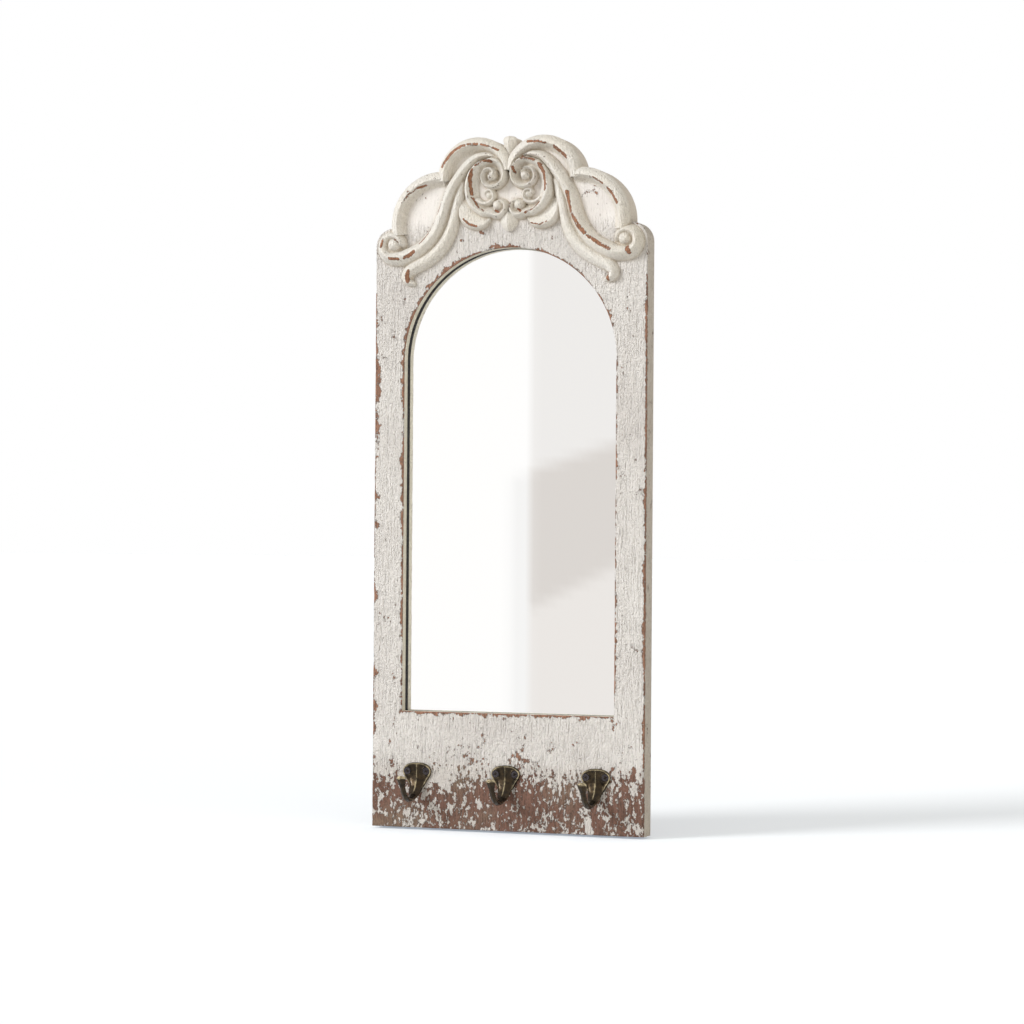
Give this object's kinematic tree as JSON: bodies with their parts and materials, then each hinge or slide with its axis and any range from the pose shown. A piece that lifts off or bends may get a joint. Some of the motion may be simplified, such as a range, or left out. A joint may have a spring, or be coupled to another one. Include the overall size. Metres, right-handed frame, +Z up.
{
  "type": "wall mirror with coat hooks",
  "caption": "Wall mirror in a tall distressed wooden frame with an arched opening, carved scrolls on a lobed crest and coat hooks below.",
  "frame": {"origin": "on the wall plane, on the centreline, level with the tops of the two hanging rings' inner edges, where the wall hooks carry them", "axes": "+Z up the frame, +X to the viewer's right, +Y into the wall; the front faces -Y"},
  "size_m": [0.2692, 0.0711, 0.6502],
  "materials": {
    "painted_wood": "distressed off-white paint over brown wood",
    "painted_carving": "cream paint, worn through on the ridges",
    "mirror": "silvered, polished",
    "card": "matte",
    "panel": "hardboard, smooth side out",
    "bronze": "antique bronze plating, rubbed bright on the edges",
    "dark_screw": "darkened",
    "zinc": "bright zinc plating",
    "pad": "matte"
  },
  "bodies": {
    "frame": {"frame_board": "painted_wood", "mirror_glass": "mirror", "filler_card": "card", "back_panel": "panel", "upper_border_left": "painted_carving", "upper_border_right": "painted_carving", "lower_border_left": "painted_carving", "lower_border_right": "painted_carving", "s_scroll_left": "painted_carving", "s_scroll_right": "painted_carving", "c_scroll_left": "painted_carving", "c_scroll_right": "painted_carving", "crest_stem": "painted_carving", "crest_finial": "painted_carving", "hook_left": "bronze", "hook_middle": "bronze", "hook_right": "bronze", "hook_screws": "dark_screw", "button_screws": "zinc", "hanger_strap_left": "zinc", "hanger_strap_right": "zinc", "hanger_screws": "zinc", "wall_pads": "pad"},
    "ring_left": {"hanger_ring_left": "zinc"},
    "ring_right": {"hanger_ring_right": "zinc"},
    "button_top": {"turn_button_top": "zinc"},
    "button_bottom": {"turn_button_bottom": "zinc"},
    "button_upper_left": {"turn_button_upper_left": "zinc"},
    "button_lower_left": {"turn_button_lower_left": "zinc"},
    "button_upper_right": {"turn_button_upper_right": "zinc"},
    "button_lower_right": {"turn_button_lower_right": "zinc"}
  },
  "joints": [
    {"name": "ring_left_swing", "type": "hinge", "parent": "frame", "child": "ring_left", "pos_m": [-0.092, -0.00194, -0.0102], "axis": [-1, 0, 0], "range_deg": [0, 170]},
    {"name": "ring_right_swing", "type": "hinge", "parent": "frame", "child": "ring_right", "pos_m": [0.092, -0.00194, -0.0102], "axis": [-1, 0, 0], "range_deg": [0, 170]},
    {"name": "button_top_turn", "type": "hinge", "parent": "frame", "child": "button_top", "pos_m": [0, -0.003, -0.0047], "axis": [0, 1, 0], "continuous": true},
    {"name": "button_bottom_turn", "type": "hinge", "parent": "frame", "child": "button_bottom", "pos_m": [0, -0.003, -0.4717], "axis": [0, 1, 0], "continuous": true},
    {"name": "button_upper_left_turn", "type": "hinge", "parent": "frame", "child": "button_upper_left", "pos_m": [-0.1205, -0.003, -0.1807], "axis": [0, 1, 0], "continuous": true},
    {"name": "button_lower_left_turn", "type": "hinge", "parent": "frame", "child": "button_lower_left", "pos_m": [-0.1205, -0.003, -0.4007], "axis": [0, 1, 0], "continuous": true},
    {"name": "button_upper_right_turn", "type": "hinge", "parent": "frame", "child": "button_upper_right", "pos_m": [0.1205, -0.003, -0.1807], "axis": [0, 1, 0], "continuous": true},
    {"name": "button_lower_right_turn", "type": "hinge", "parent": "frame", "child": "button_lower_right", "pos_m": [0.1205, -0.003, -0.4007], "axis": [0, 1, 0], "continuous": true}
  ]
}
